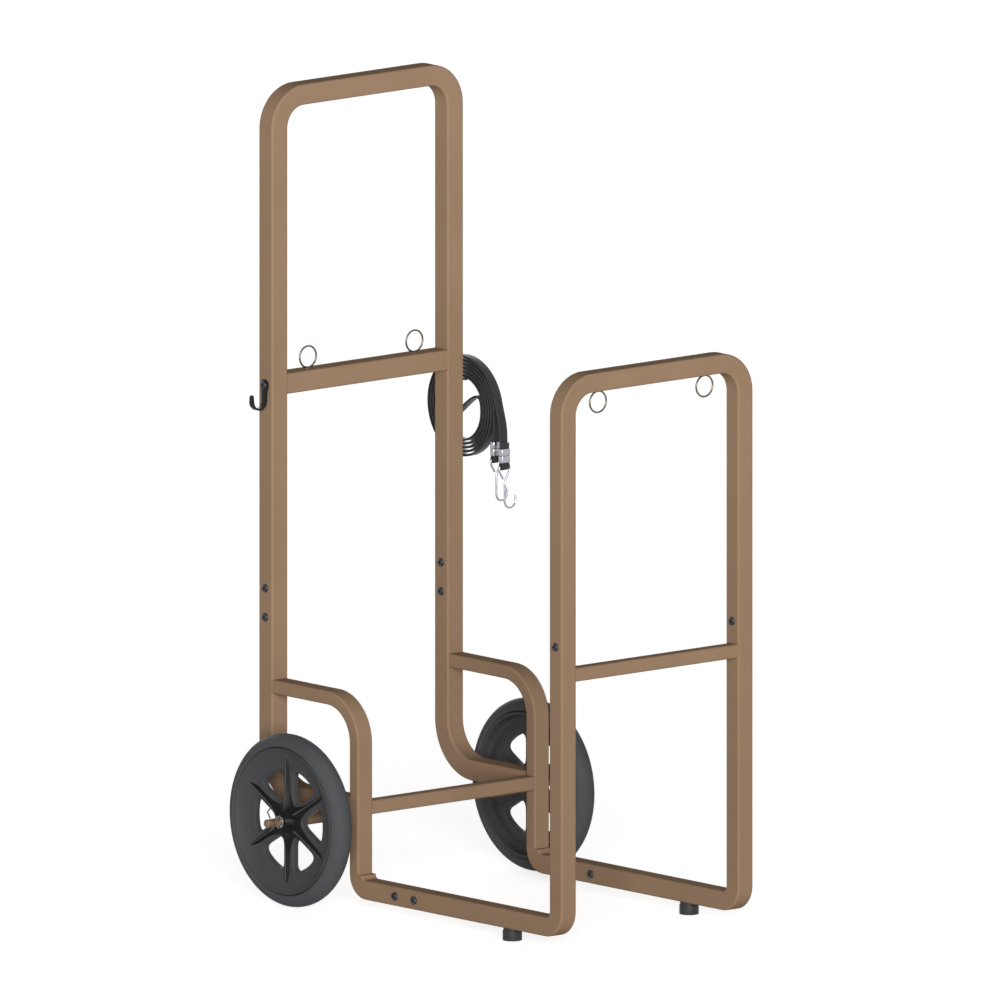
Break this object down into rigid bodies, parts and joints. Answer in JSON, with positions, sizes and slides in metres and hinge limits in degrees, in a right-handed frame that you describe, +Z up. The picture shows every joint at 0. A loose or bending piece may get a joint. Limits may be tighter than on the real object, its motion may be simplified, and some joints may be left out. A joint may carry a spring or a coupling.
{
  "type": "log cart",
  "caption": "Two-wheeled square-tube firewood cart with a tall rear handle hoop, a lower front hoop, an open log bay, rubber feet and side hooks, with a coiled lashing strap.",
  "frame": {"origin": "on the ground, midway between the sides and between the front legs' front face and the rear legs' rear face", "axes": "+X along the axle, +Y from the front hoop to the handle, +Z up"},
  "size_m": [0.548, 0.7256, 1.167],
  "materials": {
    "frame": "satin bronze-brown powder coat",
    "inner_steel": "bare steel",
    "bolt_black": "black oxide",
    "axle": "bronze-brown paint, lightly worn",
    "wheel_disc": "satin moulded plastic",
    "tyre": "smooth grey-black rubber",
    "bush": "nylon",
    "zinc": "bright zinc",
    "foot": "matt rubber",
    "hook_black": "black powder coat",
    "ring_wire": "darkened steel wire",
    "strap_elastic": "black elastic band",
    "strap_zinc": "bright zinc-plated wire"
  },
  "bodies": {
    "cart": {"handle_hoop": "frame", "rear_crossbar": "frame", "front_hoop": "frame", "front_midbar": "frame", "left_front_frame": "frame", "right_front_frame": "frame", "left_rear_rail": "frame", "right_rear_rail": "frame", "left_rear_leg": "frame", "right_rear_leg": "frame", "left_arch": "frame", "right_arch": "frame", "arch_tie": "frame", "left_axle_boss": "frame", "right_axle_boss": "frame", "leg_sleeves": "inner_steel", "rail_sleeves": "inner_steel", "frame_bolts": "bolt_black", "frame_nuts": "bolt_black", "hook_bolts": "bolt_black", "axle": "axle", "inner_washers": "zinc", "outer_washers": "zinc", "left_clip": "zinc", "right_clip": "zinc", "foot_screws": "zinc", "left_foot": "foot", "right_foot": "foot", "left_side_hook": "hook_black", "right_side_hook": "hook_black", "rear_rings": "ring_wire", "front_rings": "ring_wire", "strap_coil": "strap_elastic", "strap_loops": "strap_elastic", "strap_crimps": "strap_zinc", "strap_hooks": "strap_zinc"},
    "left_wheel_body": {"left_wheel": "wheel_disc", "left_tyre": "tyre", "left_bush": "bush"},
    "right_wheel_body": {"right_wheel": "wheel_disc", "right_tyre": "tyre", "right_bush": "bush"}
  },
  "joints": [
    {"name": "left_wheel_spin", "type": "hinge", "parent": "cart", "child": "left_wheel_body", "pos_m": [-0.228, 0.2065, 0.125], "axis": [1, 0, 0], "continuous": true},
    {"name": "right_wheel_spin", "type": "hinge", "parent": "cart", "child": "right_wheel_body", "pos_m": [0.228, 0.2065, 0.125], "axis": [1, 0, 0], "continuous": true}
  ]
}
